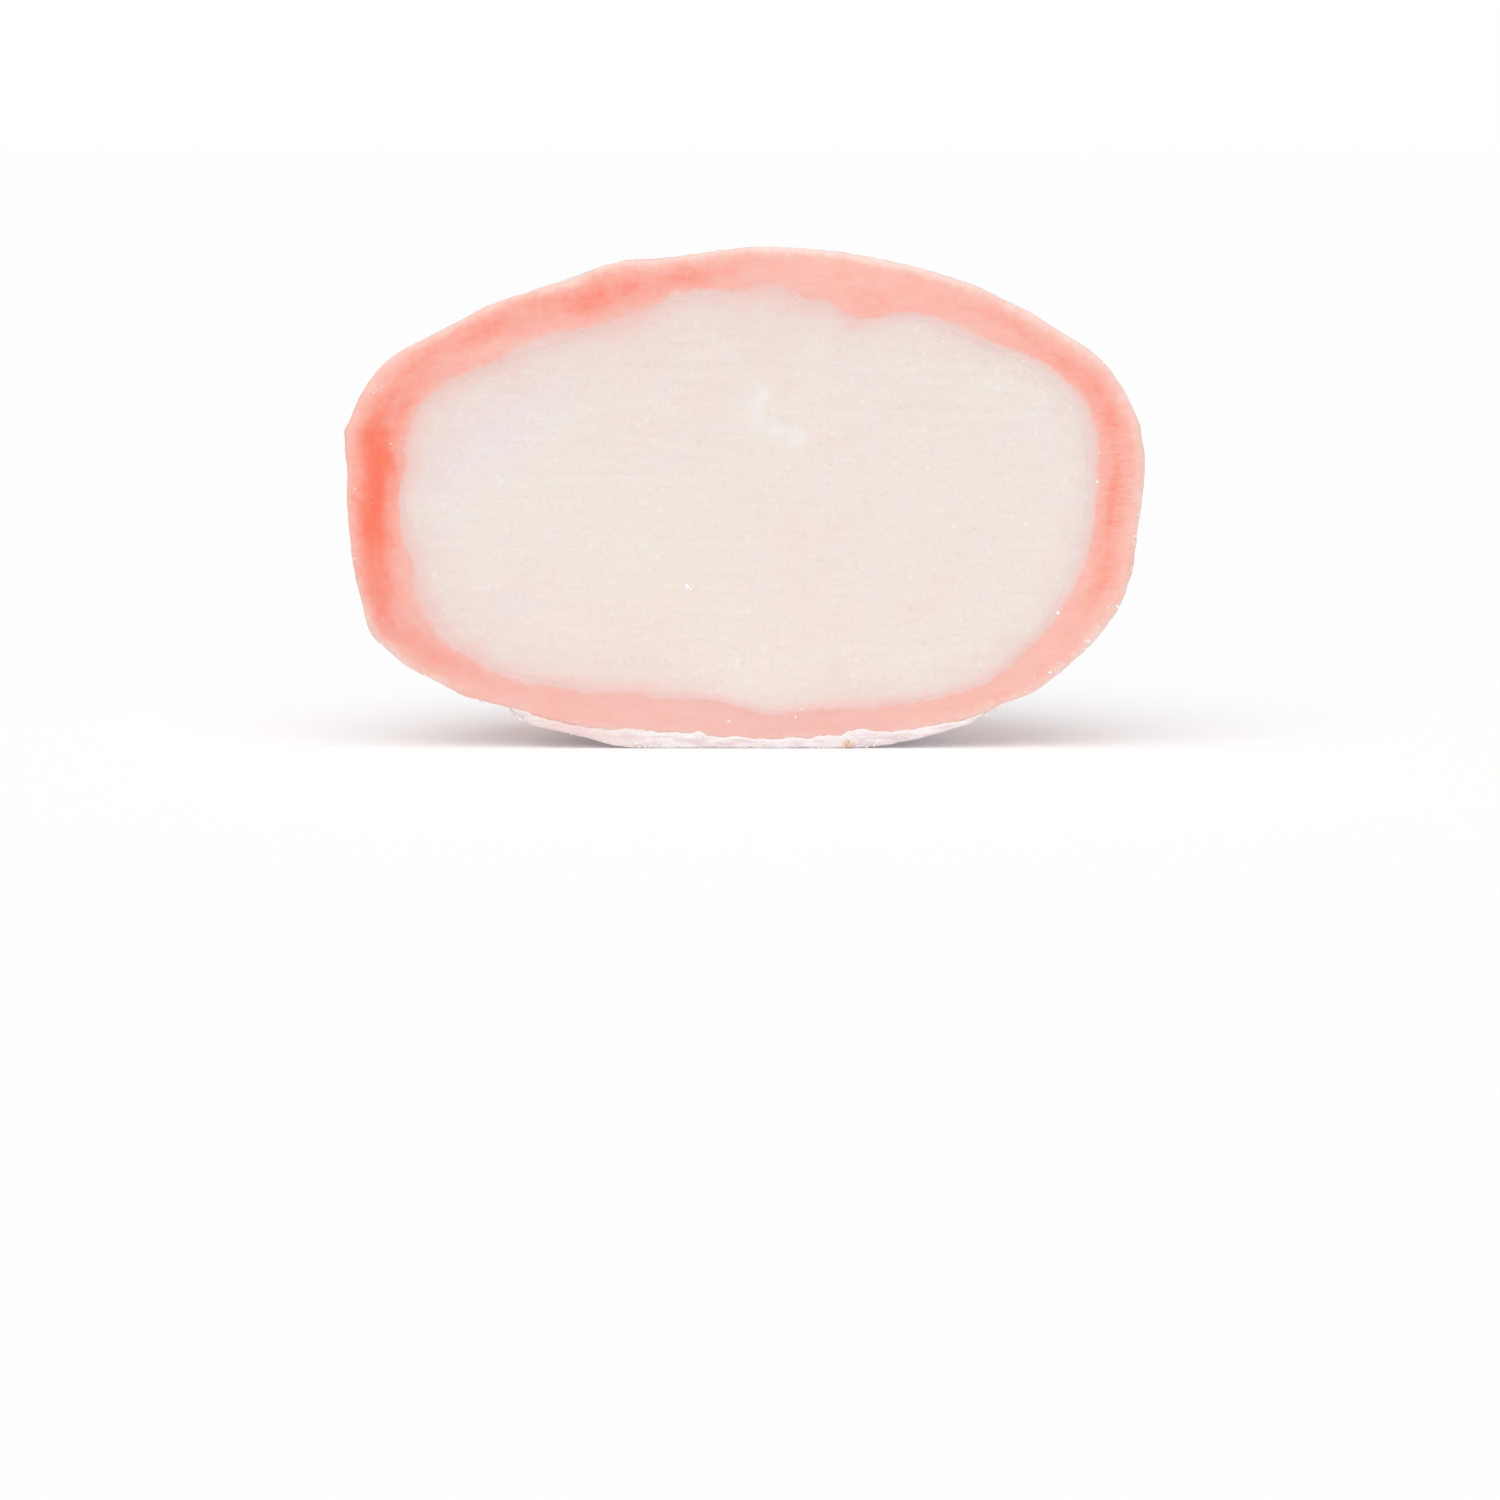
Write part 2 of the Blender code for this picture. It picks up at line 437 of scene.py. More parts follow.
def coral_strength(ways, depth):
    """How strong the coral of the cut dough is along these directions at this depth."""
    total = np.full(len(ways), CORAL_STRENGTH)
    for around, deep, turn_spread, deep_spread, rise in CORAL_PATCHES:
        apart = np.degrees(np.arccos(np.clip(ways @ heading(around, 0), -1, 1)))
        total += rise * np.exp(-((apart / turn_spread) ** 2) - ((depth / MM - deep) / deep_spread) ** 2)
    return total


def cut_middle():
    """Middle of the whole sweet in the frame: the solids' box is centred on the origin."""
    ways = heading(np.arange(0, 360, 0.5), np.zeros(720))
    sideways = ways[:, 0] * outside(ways)
    return np.array((-(sideways.min() + sideways.max()) / 2, cad_box[0][1], MIDDLE_HEIGHT))


MIDDLE = cut_middle()


def ripple(places, size, octaves=2):
    """Smooth noise, about -1 to 1, with features about this size (one number, or one for each axis)."""
    return np.array([noise.fractal(place, 1.0, 2.0, octaves) for place in (places / size).tolist()])


def loop_of(rim):
    """The vertices along a list of edges."""
    return list({vert for edge in rim for vert in edge.verts})


def extrude_loop(sheet, loop, material_index):
    """Grows one more strip of faces from an open edge loop and returns its new edge loop."""
    made = bmesh.ops.extrude_edge_only(sheet, edges=loop)["geom"]
    for item in made:
        if isinstance(item, bmesh.types.BMFace):
            item.material_index = material_index
    return [item for item in made if isinstance(item, bmesh.types.BMEdge) and item.is_boundary]


def bowl_pattern():
    """Bowl with an outer radius of 1 and an inner radius of a half, its open side facing -Y.

    Its outside is an even half ball, made from a finely divided cube. Material 1 is the cut rim.
    """
    bowl = bmesh.new()
    bmesh.ops.create_cube(bowl, size=2.0)
    bmesh.ops.subdivide_edges(bowl, edges=bowl.edges, cuts=DOUGH_CUTS, use_grid_fill=True)
    in_front = [vert for vert in bowl.verts if vert.co.y < -CLOSE]
    bmesh.ops.delete(bowl, geom=in_front, context="VERTS")
    for vert in bowl.verts:
        evened = Vector(math.tan(side * math.pi / 4) for side in vert.co)
        vert.co = evened.normalized()
    loop = [edge for edge in bowl.edges if edge.is_boundary]
    for step in range(1, RIM_STEPS + 1):
        loop = extrude_loop(bowl, loop, 1)
        for vert in loop_of(loop):
            vert.co = vert.co.normalized() * (1 - 0.5 * step / RIM_STEPS)
    for ring in range(1, WALL_RINGS + 1):
        loop = extrude_loop(bowl, loop, 1)
        back = LAST_RING * ring / WALL_RINGS
        for vert in loop_of(loop):
            level = Vector((vert.co.x, 0, vert.co.z)).normalized()
            vert.co = 0.5 * (level * math.cos(back) + Vector((0, math.sin(back), 0)))
    bmesh.ops.contextual_create(bowl, geom=loop)
    return bowl


def dome_pattern():
    """Half ball with a radius of 1, closed at the front by a disc of even cells that faces -Y.

    The disc is a square grid, each of whose square rings is bent into a circle.
    """
    dome = bmesh.new()
    bmesh.ops.create_grid(dome, x_segments=FILLING_CELLS, y_segments=FILLING_CELLS, size=1.0)
    for vert in dome.verts:
        right, up = vert.co.x, vert.co.y
        radius = max(abs(right), abs(up))
        if radius == 0:
            continue
        if abs(right) >= abs(up):
            turn = math.pi / 4 * up / right + (math.pi if right < 0 else 0)
        else:
            turn = math.pi / 2 - math.pi / 4 * right / up + (math.pi if up < 0 else 0)
        vert.co = (radius * math.cos(turn), 0, radius * math.sin(turn))
    loop = [edge for edge in dome.edges if edge.is_boundary]
    for ring in range(1, FILLING_RINGS + 1):
        loop = extrude_loop(dome, loop, 0)
        back = LAST_RING * ring / FILLING_RINGS
        for vert in loop_of(loop):
            level = Vector((vert.co.x, 0, vert.co.z)).normalized()
            vert.co = level * math.cos(back) + Vector((0, math.sin(back), 0))
    bmesh.ops.contextual_create(dome, geom=loop)
    return dome


def slab_pattern():
    """Flat slab from -1 to 1 in X, 0 to 1 in Y and 0 to 1 in Z, with fine steps up its sides."""
    slab = bmesh.new()
    wide, deep = STARCH_CELLS
    bmesh.ops.create_grid(slab, x_segments=wide, y_segments=deep, size=1.0)
    for vert in slab.verts:
        vert.co.y = (vert.co.y + 1) / 2
    made = bmesh.ops.extrude_face_region(slab, geom=slab.faces[:], use_keep_orig=True)["geom"]
    for item in made:
        if isinstance(item, bmesh.types.BMVert):
            item.co.z = 1.0
    upright = [edge for edge in slab.edges if abs(edge.verts[0].co.z - edge.verts[1].co.z) > 0.5]
    bmesh.ops.subdivide_edges(slab, edges=upright, cuts=STARCH_STEPS, use_grid_fill=True)
    return slab


def cut_relief(places):
    """How far back each place on the cut lies: drawn along by the knife, and grainy."""
    swells = ripple(places, 5 * MM) * 0.06 * MM
    drag = ripple(places, np.array((3.0, 1.0, 0.6)) * MM, 3) * 0.04 * MM
    return swells + drag + ripple(places, 0.4 * MM, 3) * 0.02 * MM


def note_cut(mesh, ways, depth, border):
    """Keeps what the cut's colours follow, which the materials read by name."""
    around = np.degrees(np.arctan2(ways[:, 2], ways[:, 0]))
    stations, *columns = np.array(ROUND_THE_CUT).T
    shift, width, rim, dull_shade = (np.interp(around, stations, column, period=360) for column in columns)
    spots = places_of(mesh) - MIDDLE
    right, up = spots[:, 0] / MM, spots[:, 2] / MM
    nearest = near_path(right, up, SMEAR_PATH)
    smear = np.exp(-((nearest / SMEAR_HALF_WIDTH) ** 2)) * (0.8 + 0.6 * ripple(spots, 0.7 * MM, 3))
    note(mesh, "depth", depth / MM)
    note(mesh, "border", (border / MM + shift) / width)
    # Painted light paling the rim, and the dulling towards the bottom that is partly painted shade
    note(mesh, "rim", rim)
    note(mesh, "dull_shade", dull_shade)
    note(mesh, "coral", coral_strength(ways, depth))
    note(mesh, "cool", patches(right, up, COOL_PATCHES))
    note(mesh, "scored", patches(right, up, SCORED_PATCHES))
    note(mesh, "smear", np.clip(smear, 0, 1))
    # Millimetres along the outline, and three for each one of depth, so that layers lie along it
    layers = np.stack((18 * ways[:, 0], 18 * ways[:, 2], 3 * depth / MM), axis=1)
    mesh.attributes.new("layers", "FLOAT_VECTOR", "POINT").data.foreach_set("vector", layers.ravel())


def near_path(right, up, path):
    """Distance in millimetres from each place on the cut to a path over it."""
    spots = np.stack((right, up), axis=1)
    nearest = np.full(len(spots), np.inf)
    for start, end in zip(np.array(path[:-1]), np.array(path[1:])):
        along = end - start
        share = np.clip((spots - start) @ along / (along @ along), 0, 1)
        nearest = np.minimum(nearest, np.linalg.norm(spots - start - share[:, None] * along, axis=1))
    return nearest


def to_mesh(name, pattern):
    """Smooth-shaded mesh of a finished pattern."""
    bmesh.ops.recalc_face_normals(pattern, faces=pattern.faces)
    mesh = bpy.data.meshes.new(name)
    pattern.to_mesh(mesh)
    pattern.free()
    mesh.shade_smooth()
    return mesh


def places_of(mesh):
    """Where the mesh's vertices are, as rows of X, Y and Z."""
    flat = np.empty(len(mesh.vertices) * 3)
    mesh.vertices.foreach_get("co", flat)
    return flat.reshape(-1, 3)


def move_to(mesh, places):
    """Puts the mesh's vertices at these places."""
    mesh.vertices.foreach_set("co", places.ravel())
    mesh.update()


def note(mesh, name, values):
    """Keeps one number for each vertex, for the material to read."""
    mesh.attributes.new(name, "FLOAT", "POINT").data.foreach_set("value", values.astype(np.float32))


def add_piece(name, mesh, materials, node=None):
    """Object for a finished mesh, which rides with the half and may stand for a solid."""
    for material in materials:
        mesh.materials.append(material)
    piece = bpy.data.objects.new(name, mesh)
    bpy.context.scene.collection.objects.link(piece)
    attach(piece, "root")
    if node:
        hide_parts(node)


class Field:
    """A value that changes over a surface; sums on it add Math nodes."""

    def __init__(self, finish, socket):
        self.finish = finish
        self.socket = socket

    def math(self, operation, *values):
        return self.finish.add("ShaderNodeMath", {"operation": operation}, dict(enumerate(values)))

    def __add__(self, other):
        return self.math("ADD", self, other)

    __radd__ = __add__

    def __sub__(self, other):
        return self.math("SUBTRACT", self, other)

    def __rsub__(self, other):
        return self.math("SUBTRACT", other, self)

    def __mul__(self, other):
        return self.math("MULTIPLY", self, other)


class Finish:
    """A material with a Principled shader, built up node by node."""

    def __init__(self, name, **constants):
        self.material = bpy.data.materials.new(name)
        self.material.use_nodes = True
        self.nodes = self.material.node_tree.nodes
        self.links = self.material.node_tree.links
        self.shader = self.nodes["Principled BSDF"]
        for socket, value in constants.items():
            self.shader.inputs[socket.replace("_", " ")].default_value = value

    def add(self, kind, settings=None, inputs=None, output=0):
        """Adds a node with these settings and socket values or links, and returns one output."""
        node = self.nodes.new(kind)
        for name, value in (settings or {}).items():
            setattr(node, name, value)
        for socket, value in (inputs or {}).items():
            self.connect(node.inputs[socket], value)
        return Field(self, node.outputs[output])

    def connect(self, socket, value):
        if isinstance(value, Field):
            self.links.new(value.socket, socket)
        else:
            socket.default_value = value

    def attribute(self, name):
        return self.add("ShaderNodeAttribute", {"attribute_name": name}, output="Fac")

    def place(self):
        return self.add("ShaderNodeTexCoord", output="Object")

    def grain(self, size, detail=2.0, roughness=0.5, stretch=None):
        """Noise from 0 to 1 with features about this size, in millimetres, even or drawn out."""
        # Even noise is turned, so that its own grid never lines up with the cut
        placing = {"Scale": stretch} if stretch else {"Rotation": (0.5, 0.3, 0.8)}
        placed = self.add("ShaderNodeMapping", inputs={"Vector": self.place(), **placing})
        settings = {"Vector": placed, "Scale": 1 / (size * MM), "Detail": detail, "Roughness": roughness}
        return self.add("ShaderNodeTexNoise", inputs=settings, output="Fac")

    def layered(self, size, detail=2.0):
        """Noise from 0 to 1 in layers that follow the cut's outline, about this many millimetres long."""
        place = self.add("ShaderNodeAttribute", {"attribute_name": "layers"}, output="Vector")
        settings = {"Vector": place, "Scale": 1 / size, "Detail": detail}
        return self.add("ShaderNodeTexNoise", inputs=settings, output="Fac")

    def cells(self, size):
        """Distance to the nearest of many scattered points this many millimetres apart, 0 to about 1."""
        settings = {"Vector": self.place(), "Scale": 1 / (size * MM)}
        return self.add("ShaderNodeTexVoronoi", inputs=settings, output="Distance")

    def step(self, value, low, high):
        """0 below low, 1 above high, smooth between."""
        inputs = {"Value": value, "From Min": low, "From Max": high}
        return self.add("ShaderNodeMapRange", {"interpolation_type": "SMOOTHSTEP"}, inputs)

    def mix(self, share, first, second):
        """Colour that goes from first to second as share goes from 0 to 1."""
        # A Mix node keeps its two colours and its mixed colour at these places among its sockets
        inputs = {"Factor": share, 6: first, 7: second}
        return self.add("ShaderNodeMix", {"data_type": "RGBA"}, inputs, output=2)

    def bump(self, height, distance, under=None):
        """Normal for a height from 0 to 1 that stands for this many millimetres."""
        inputs = {"Height": height, "Distance": distance * MM}
        if under:
            inputs["Normal"] = under
        return self.add("ShaderNodeBump", inputs=inputs)

    def set(self, **fields):
        for socket, field in fields.items():
            self.connect(self.shader.inputs[socket.replace("_", " ")], field)
        return self.material


def tint(red, green, blue):
    """Linear colour for a colour as a screen shows it, 0 to 255."""
    shares = [value / 255 for value in (red, green, blue)]
    return tuple(s / 12.92 if s <= 0.04045 else ((s + 0.055) / 1.055) ** 2.4 for s in shares) + (1.0,)


CORAL = tint(254, 124, 95)
PALE_CORAL = tint(254, 195, 182)
SALMON_PINK = tint(248, 182, 174)
# Duller, darker pink for the bottom of the cut: partly its own duller colour, partly painted shade near
# the board
SHADED_DULL_PINK = tint(222, 192, 188)
# Painted light: the pale rim, as if light shone through the thin dough edge
BACKLIT_RIM = tint(254, 231, 223)
PALE_SCORE = tint(253, 210, 200)
PINK_EDGE = tint(243, 204, 198)
CREAM = tint(240, 231, 222)
PINK_CREAM = tint(240, 227, 219)
COOL_CREAM = tint(239, 230, 226)
FROST = tint(238, 227, 228)
LILAC_CREAM = tint(238, 219, 213)
ICE_WHITE = tint(250, 250, 248)
SMEAR = tint(243, 241, 236)
PIT = tint(220, 202, 193)
DARK_FLECK = tint(226, 128, 108)
POWDER = tint(248, 237, 235)
PINK_POWDER = tint(240, 200, 193)
BARE_DOUGH = tint(240, 168, 152)
# Whitest starch: the clumps' own colour, and the painted highlight on the cake's upper lip
WHITE_STARCH = tint(255, 250, 247)
STARCH = tint(249, 242, 242)
PINK_STARCH = tint(241, 219, 217)
# Painted shade between the starch's flakes, lilac
LILAC_STARCH_SHADE = tint(235, 217, 219)
ORANGE_CRUMB = tint(250, 200, 146)


def dough_colour(finish, depth, border, mottle, fleck):
    """Cut dough: coral in patches and layers, paled by painted light at its skin, pinker at the filling.
    """
    streak = finish.grain(0.26, 2.0, stretch=(0.14, 1, 1)) - 0.5
    layers = finish.layered(3.0, 3.0) - 0.5
    strength = finish.attribute("coral") + mottle * 0.25 + layers * 0.55 + fleck * 0.35 + streak * 0.15
    core = finish.mix(finish.step(strength, -0.1, 1.05), PALE_CORAL, CORAL)
    inner = 1 - finish.step(border + mottle * 1.2, 0.3, 1.1)
    softened = finish.mix(inner * 0.25, core, SALMON_PINK)
    # Painted light: near the skin the coral is paled as if lit through the thin edge
    rim = 1 - finish.step(depth + mottle * 0.5 + fleck * 0.5, -0.2, 0.75)
    rim_lit = finish.mix(rim * finish.attribute("rim"), softened, BACKLIT_RIM)
    lines = finish.grain(0.13, 1.0, stretch=(0.2, 1, 1))
    scored = finish.attribute("scored")
    darkened = finish.mix(finish.step(lines, 0.52, 0.70) * scored * 0.16, rim_lit, DARK_FLECK)
    lightened = finish.mix(finish.step(lines, 0.45, 0.30) * scored * 0.24, darkened, PALE_SCORE)
    dots = 1 - finish.step(finish.cells(0.9), 0.03, 0.09)
    dotted = finish.mix(dots * 0.4, lightened, PALE_SCORE)
    # Towards the bottom the cut turns duller and darker: partly the dough's own duller pink, partly
    # painted shade
    return finish.mix(finish.attribute("dull_shade") * 0.4, dotted, SHADED_DULL_PINK)


def filling_colour(finish, border, mottle, fleck):
    """Filling: nearly even cream with frost, a faint icy grain and tiny pits, pinker at its edge."""
    cloud = finish.grain(5.0, 3.0)
    patch = finish.grain(1.6, 4.0, 0.6)
    warm = finish.mix(finish.step(cloud, 0.30, 0.70), CREAM, PINK_CREAM)
    cool = finish.mix(finish.step(patch, 0.48, 0.70) * 0.4, warm, COOL_CREAM)
    frost = finish.step(finish.attribute("cool") + (patch - 0.5) * 1.2, 0.0, 1.1)
    frosted = finish.mix(frost, cool, FROST)
    near_edge = finish.step(border + mottle * 2.0 + fleck, -2.2, -0.2)
    tinted = finish.mix(near_edge * 0.75, frosted, LILAC_CREAM)
    fine = finish.grain(0.3, 4.0, 0.65)
    grainy = finish.mix(finish.step(fine, 0.47, 0.30) * 0.2, tinted, PIT)
    icy = finish.mix(finish.step(fine, 0.55, 0.75) * 0.25, grainy, ICE_WHITE)
    pitted = finish.mix((1 - finish.step(finish.cells(1.5), 0.03, 0.07)) * 0.4, icy, PIT)
    crystals = 1 - finish.step(finish.cells(1.4), 0.03, 0.16)
    starry = finish.mix(crystals * 0.3, pitted, ICE_WHITE)
    return finish.mix(finish.attribute("smear") * 0.75, starry, SMEAR)


def cut_finish(name, roughness, radius):
    """The cut face. Dough and filling share its colours, so that they run together at the border."""
    finish = Finish(
        name,
        Subsurface_Weight=0.2,
        Subsurface_Radius=radius,
        Subsurface_Scale=0.4 * MM,
        Specular_IOR_Level=0.3,
    )
    depth, border = finish.attribute("depth"), finish.attribute("border")
    mottle = finish.grain(1.5, 3.0) - 0.5
    fleck = finish.grain(0.45, 3.0) - 0.5
    ragged = border + mottle * 0.5 + fleck * 0.22
    dough = dough_colour(finish, depth, border, mottle, fleck)
    filling = filling_colour(finish, border, mottle, fleck)
    pink = finish.mix(finish.step(ragged, -0.6, 0.3) * 0.95, filling, PINK_EDGE)
    colour = finish.mix(finish.step(ragged, 0.11, 0.35), pink, dough)
    scored = finish.bump(finish.grain(0.2, 2.0, stretch=(0.14, 1, 1)), 0.03)
    grainy = finish.bump(finish.grain(0.3, 3.0), 0.025, scored)
    normal = finish.bump(finish.grain(0.1, 2.0), 0.012, grainy)
    return finish.set(Base_Color=colour, Roughness=roughness + fleck * 0.25, Normal=normal)


def powdered_finish():
    """Outside of the dough under its dusting: drifts of starch, thinner where the dough shows pink."""
    finish = Finish(
        "Dusted rice dough",
        Subsurface_Weight=0.2,
        Subsurface_Radius=(1.0, 0.6, 0.5),
        Subsurface_Scale=0.6 * MM,
        Specular_IOR_Level=0.2,
        Sheen_Weight=0.25,
        Sheen_Roughness=0.4,
    )
    drift = finish.grain(5.0, 4.0, 0.55)
    speckle = finish.grain(0.5, 3.0, 0.6)
    fine = finish.grain(0.16, 2.0)
    thin = finish.step(drift * 0.7 + speckle * 0.3, 0.40, 0.62)
    dusted = finish.mix(thin, POWDER, PINK_POWDER)
    bare = finish.step(drift * 0.6 + speckle * 0.4, 0.58, 0.72)
    shown = finish.mix(bare * 0.7, dusted, BARE_DOUGH)
    flour = finish.step(fine, 0.45, 0.7)
    colour = finish.mix(flour * 0.4, shown, POWDER)
    coarse = finish.bump(speckle, 0.07)
    normal = finish.bump(fine, 0.03, coarse)
    return finish.set(Base_Color=colour, Roughness=0.8 + fine * 0.2, Normal=normal)


def starch_finish():
    """Dry starch caked under the dough: pinker in patches, painted shade in streaks, painted highlight on
    top.
    """
    finish = Finish(
        "Caked starch",
        Subsurface_Weight=0.15,
        Subsurface_Radius=(1.0, 0.8, 0.7),
        Subsurface_Scale=0.4 * MM,
        Specular_IOR_Level=0.2,
    )
    patch = finish.grain(1.4, 3.0)
    fine = finish.grain(0.18, 3.0, 0.65)
    layers = finish.grain(0.28, 3.0, 0.6, stretch=(0.18, 1, 1))
    # Painted shade: lilac streaks between the flakes
    shaded_layers = finish.mix(finish.step(layers * 0.7 + patch * 0.3, 0.38, 0.60), LILAC_STARCH_SHADE, STARCH)
    # Painted highlight: whiter along the cake's upper lip
    upper = finish.step(finish.attribute("lip") + (fine - 0.5) * 0.6, 0.62, 0.95)
    lip_highlighted = finish.mix(upper * 0.7, shaded_layers, WHITE_STARCH)
    pinkness = finish.step(patch, 0.52, 0.72) * 0.25 + finish.attribute("pinkness")
    colour = finish.mix(pinkness, lip_highlighted, PINK_STARCH)
    crumbly = finish.bump(fine, 0.06)
    normal = finish.bump(layers, 0.04, crumbly)
    return finish.set(Base_Color=colour, Roughness=0.9, Normal=normal)


def clump_finish():
    """Loose starch in clumps, with a little glow so that it stays white in the shade."""
    finish = Finish(
        "Loose starch",
        Roughness=0.95,
        Specular_IOR_Level=0.2,
        Subsurface_Weight=0.2,
        Subsurface_Scale=0.2 * MM,
        Emission_Color=(1.0, 0.95, 0.93, 1.0),
        Emission_Strength=0.09,
    )
    tone = finish.step(finish.grain(0.7), 0.35, 0.65)
    colour = finish.mix(tone, WHITE_STARCH, STARCH)
    return finish.set(Base_Color=colour, Normal=finish.bump(finish.grain(0.1), 0.03))


def glint_finish():
    """Small ice crystals, kept bright white by a faint painted glow."""
    finish = Finish(
        "Ice crystals",
        Specular_IOR_Level=0.4,
        # Painted glow: a faint emission, though the crystals give no light
        Emission_Color=(1.0, 0.95, 0.92, 1.0),
        Emission_Strength=0.12,
    )
    tone = finish.step(finish.grain(0.4), 0.35, 0.65)
    colour = finish.mix(tone, ICE_WHITE, CREAM)
    return finish.set(Base_Color=colour, Roughness=0.15 + finish.grain(0.2) * 0.2)


def make_dough():
    """Bowl of dough: dusted round back, cut rim, and an inner wall that the filling hides."""
    mesh = to_mesh("cut_dough", bowl_pattern())
    pattern = places_of(mesh)
    radius = np.linalg.norm(pattern, axis=1)
    ways = pattern / radius[:, None]
    across = np.clip((1 - radius) * 2, 0, 1)
    outer, inner = dough_outside(ways), filling_outside(ways)
    reach = outer + (inner - BORDER_OVERLAP - outer) * across
    depth, border = outer - reach, reach - inner
    places = ways * reach[:, None]
    on_dome = across < CLOSE
    on_cut = np.abs(pattern[:, 1]) < CLOSE
    # Small folds of skin on the round back
    folds = ripple(places, 1.3 * MM, 3) * 0.06 * MM + ripple(places, 0.4 * MM) * 0.025 * MM
    places += ways * (folds * on_dome)[:, None]
    # The edge is left almost sharp where starch is caked under it
    corner = RIM_ROUNDING * (1 - 0.85 * np.clip(starch_depth(ways) / (0.3 * MM), 0, 1))
    short_of_corner = np.maximum(0, corner - depth)
    rounding = corner - np.sqrt(np.maximum(0, corner**2 - short_of_corner**2))
    dip = BORDER_DIP * np.clip(-border / BORDER_OVERLAP, 0, 1)
    places[:, 1] = np.where(on_cut & ~on_dome, rounding + dip + cut_relief(places), places[:, 1])
    places[:, 1] = np.where(on_dome, np.hypot(places[:, 1], corner), places[:, 1])
    move_to(mesh, places + MIDDLE)
    note_cut(mesh, ways, depth, border)
    cut = cut_finish("Cut rice dough", 0.45, (1.0, 0.5, 0.35))
    add_piece("cut_dough", mesh, [powdered_finish(), cut], "mochi_dough")


def make_filling():
    """Half ball of frozen filling with a finely grained cut face."""
    mesh = to_mesh("cut_filling", dome_pattern())
    pattern = places_of(mesh)
    radius = np.linalg.norm(pattern, axis=1)
    ways = np.where(radius[:, None] > 0, pattern / np.maximum(radius, 1e-9)[:, None], (1, 0, 0))
    edge = filling_outside(ways)
    reach = (edge + BORDER_OVERLAP) * radius
    border = reach - edge
    places = ways * reach[:, None]
    on_cut = np.abs(pattern[:, 1]) < CLOSE
    dip = BORDER_DIP * np.clip(border / BORDER_OVERLAP, 0, 1)
    places[:, 1] = np.where(on_cut, dip + cut_relief(places), places[:, 1])
    move_to(mesh, places + MIDDLE)
    note_cut(mesh, ways, dough_outside(ways) - reach, border)
    frozen = cut_finish("Frozen lychee filling", 0.55, (1.0, 0.85, 0.75))
    add_piece("cut_filling", mesh, [frozen], "lychee_filling")


def make_starch():
    """Crumbly starch under the dough; at its ragged edge it dives into the dough and is gone."""
    mesh = to_mesh("caked_starch", slab_pattern())
    pattern = places_of(mesh)
    narrowing = np.sqrt(1 - 0.6 * pattern[:, 1] ** 2)
    right, back = pattern[:, 0] * narrowing * FOOT_HALF_WIDTH, pattern[:, 1] * FOOT_DEPTH
    foot = np.stack((right, back, np.full(len(pattern), -MIDDLE_HEIGHT)), axis=1)
    ways = foot / np.linalg.norm(foot, axis=1)[:, None]
    under = outside(ways)
    spots = ways * under[:, None]
    lip = 0.10 * MM + ripple(spots, 0.8 * MM, 3) * 0.10 * MM + ripple(spots, 0.3 * MM) * 0.04 * MM
    for place, spread, rise in LIP_BUMPS:
        lip += rise * MM * np.exp(-(((right / MM - place) / spread) ** 2))
    # At the cut its lip laps over the dough, and behind the cut its upper side hides in the dough
    tucked = 0.4 * MM * smooth_step(back, 0.2 * MM, 1.2 * MM)
    over = dough_outside(ways) - np.where(back < 0.6 * MM, lip, 0) - tucked
    # Where the cake ends, its underside is drawn up into the dough
    height = MIDDLE_HEIGHT + ways[:, 2] * under
    ragged = ripple(spots, 1.6 * MM, 3) * 0.35 * MM
    gone = smooth_step(height + ragged, STARCH_EDGE_HEIGHT * 0.7, STARCH_EDGE_HEIGHT * 1.3)
    crumble = np.minimum(ripple(spots, 0.5 * MM, 3) * 0.08 * MM, 0)
    lower = np.maximum(under - gone * 1.4 * MM + crumble * (1 - gone), over - 0.5 * MM)
    over = np.minimum(over, lower - 0.03 * MM)
    places = ways * (lower + (over - lower) * pattern[:, 2])[:, None]
    # Its front stands proud of the cut in flakes, and sinks behind it where the cake ends
    on_front = pattern[:, 1] < CLOSE
    swollen = 1 - (2 * pattern[:, 2] - 1) ** 4
    flakes = ripple(places, np.array((1.2, 0.5, 0.18)) * MM, 3) * 0.05 * MM
    proud = (-0.16 * swollen * (1 - gone) + 0.30 * smooth_step(gone, 0.4, 0.7)) * MM + flakes
    places[:, 1] += np.where(on_front, proud, 0)
    move_to(mesh, places + MIDDLE)
    note(mesh, "lip", np.maximum(pattern[:, 2], gone) * on_front)
    note(mesh, "pinkness", PINK_SHARE * np.exp(-(((right / MM - PINK_PLACE) / PINK_SPREAD) ** 2)))
    add_piece("caked_starch", mesh, [starch_finish()], "starch_base")


def heap_of_balls(name, count, divisions):
    """Mesh of this many balls with a radius of 1, all in one place until they are scattered."""
    ball = bmesh.new()
    bmesh.ops.create_icosphere(ball, subdivisions=divisions, radius=1.0)
    single = to_mesh("ball", ball)
    heap = bmesh.new()
    for _ in range(count):
        heap.from_mesh(single)
    bpy.data.meshes.remove(single)
    return to_mesh(name, heap)


